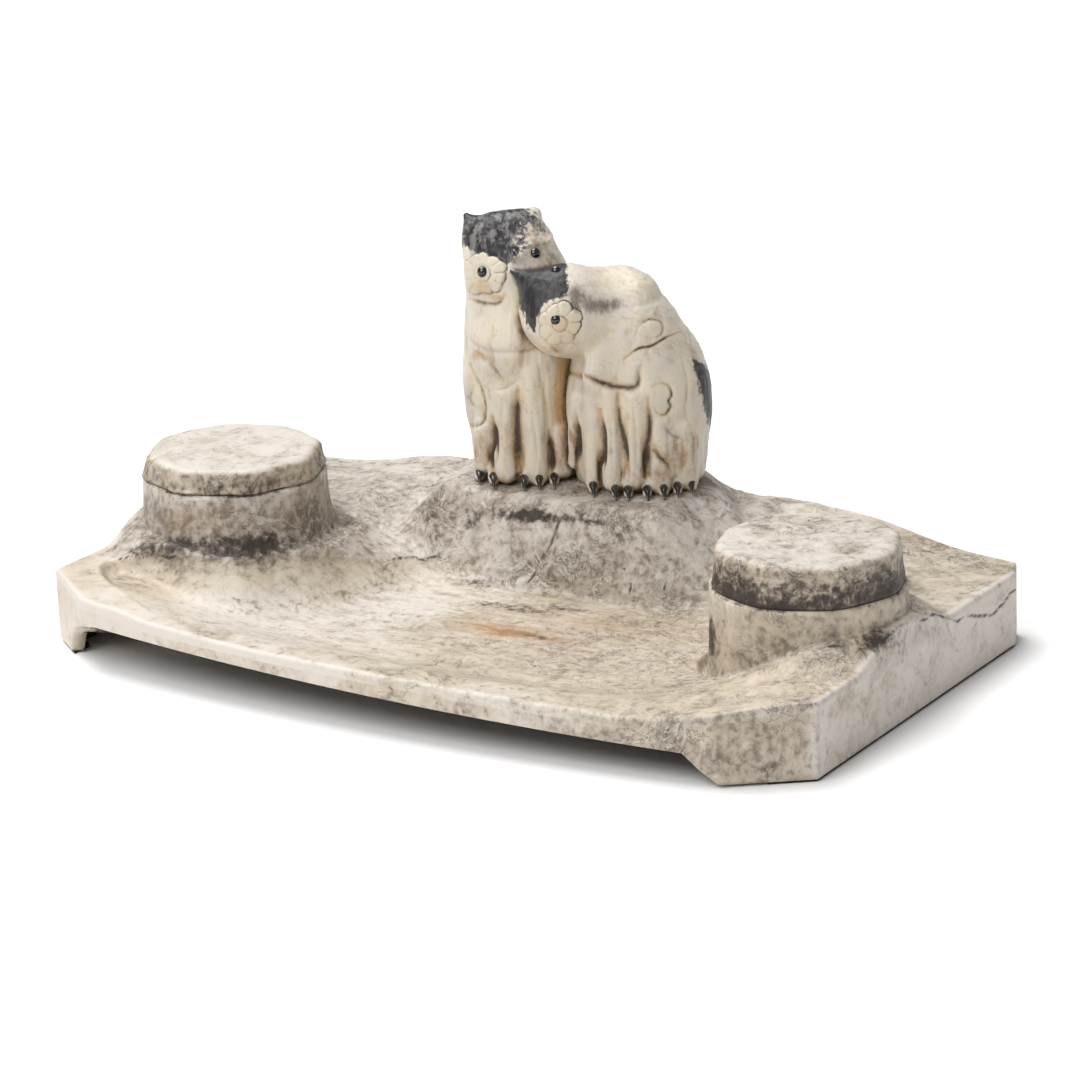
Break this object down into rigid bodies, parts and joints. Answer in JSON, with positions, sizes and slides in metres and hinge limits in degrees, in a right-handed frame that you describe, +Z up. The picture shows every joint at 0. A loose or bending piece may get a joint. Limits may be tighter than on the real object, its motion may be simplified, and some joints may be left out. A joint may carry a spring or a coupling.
{
  "type": "desk set",
  "caption": "Ceramic inkstand with a dished pen tray, lidded ink wells with lift-out glass pots, and a pair of huddling owls on a rocky ledge.",
  "frame": {"origin": "middle of the footprint, on the desk", "axes": "+X along the tray to the right seen from the front, +Y to the back, +Z up"},
  "size_m": [0.34, 0.217, 0.157],
  "materials": {
    "tray_ceramic": "satin, marbled in grey and brown",
    "owl_ceramic": "satin, stained ochre and charcoal",
    "lid_ceramic": "satin, marbled in grey and brown",
    "pot_glass": "clear pressed glass",
    "eye_glass": "polished black",
    "felt": "matt felt"
  },
  "bodies": {
    "tray": {"tray_base": "tray_ceramic", "left_owl": "owl_ceramic", "right_owl": "owl_ceramic", "left_owl_near_eye": "eye_glass", "left_owl_far_eye": "eye_glass", "right_owl_upper_eye": "eye_glass", "right_owl_lower_eye": "eye_glass", "left_felt": "felt", "right_felt": "felt", "back_felt": "felt"},
    "left_pot": {"left_ink_pot": "pot_glass"},
    "left_lid": {"left_lid": "lid_ceramic"},
    "right_pot": {"right_ink_pot": "pot_glass"},
    "right_lid": {"right_lid": "lid_ceramic"}
  },
  "joints": [
    {"name": "left_pot_lift", "type": "slide", "parent": "tray", "child": "left_pot", "axis": [0, 0, 1], "range_m": [0, 0.05]},
    {"name": "left_lid_lift", "type": "slide", "parent": "left_pot", "child": "left_lid", "axis": [0, 0, 1], "range_m": [0, 0.04]},
    {"name": "right_pot_lift", "type": "slide", "parent": "tray", "child": "right_pot", "axis": [0, 0, 1], "range_m": [0, 0.05]},
    {"name": "right_lid_lift", "type": "slide", "parent": "right_pot", "child": "right_lid", "axis": [0, 0, 1], "range_m": [0, 0.04]}
  ]
}
